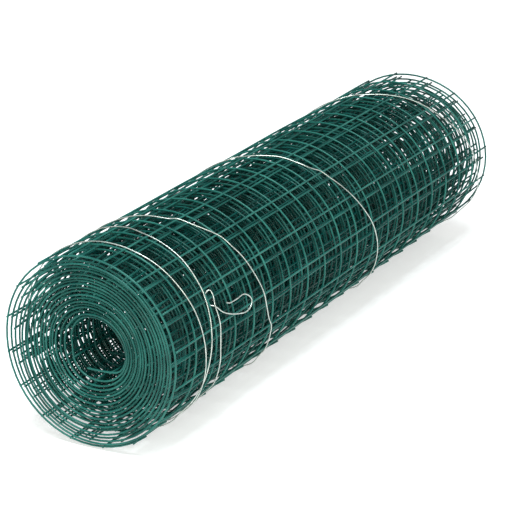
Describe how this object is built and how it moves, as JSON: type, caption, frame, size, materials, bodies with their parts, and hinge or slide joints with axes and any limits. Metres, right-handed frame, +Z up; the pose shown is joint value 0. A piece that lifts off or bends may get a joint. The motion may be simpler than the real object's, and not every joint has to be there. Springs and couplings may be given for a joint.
{
  "type": "roll of welded wire aviary mesh",
  "caption": "Short roll of green plastic coated welded square wire mesh with an open bore, lying on its side and bound with a thin tie wire.",
  "frame": {"origin": "on the floor under the middle of the roll as it lies", "axes": "+X along the roll's axis, from the end by the tie wire's tail to the other end; +Z up; -Y faces the side with the tail"},
  "size_m": [0.484, 0.1332, 0.1319],
  "materials": {
    "coated_wire": "smooth green plastic coat over steel wire, satin to glossy",
    "bare_wire": "bright galvanised wire"
  },
  "bodies": {
    "root": {"mesh_roll": "coated_wire", "tie_wire": "bare_wire"}
  },
  "joints": []
}
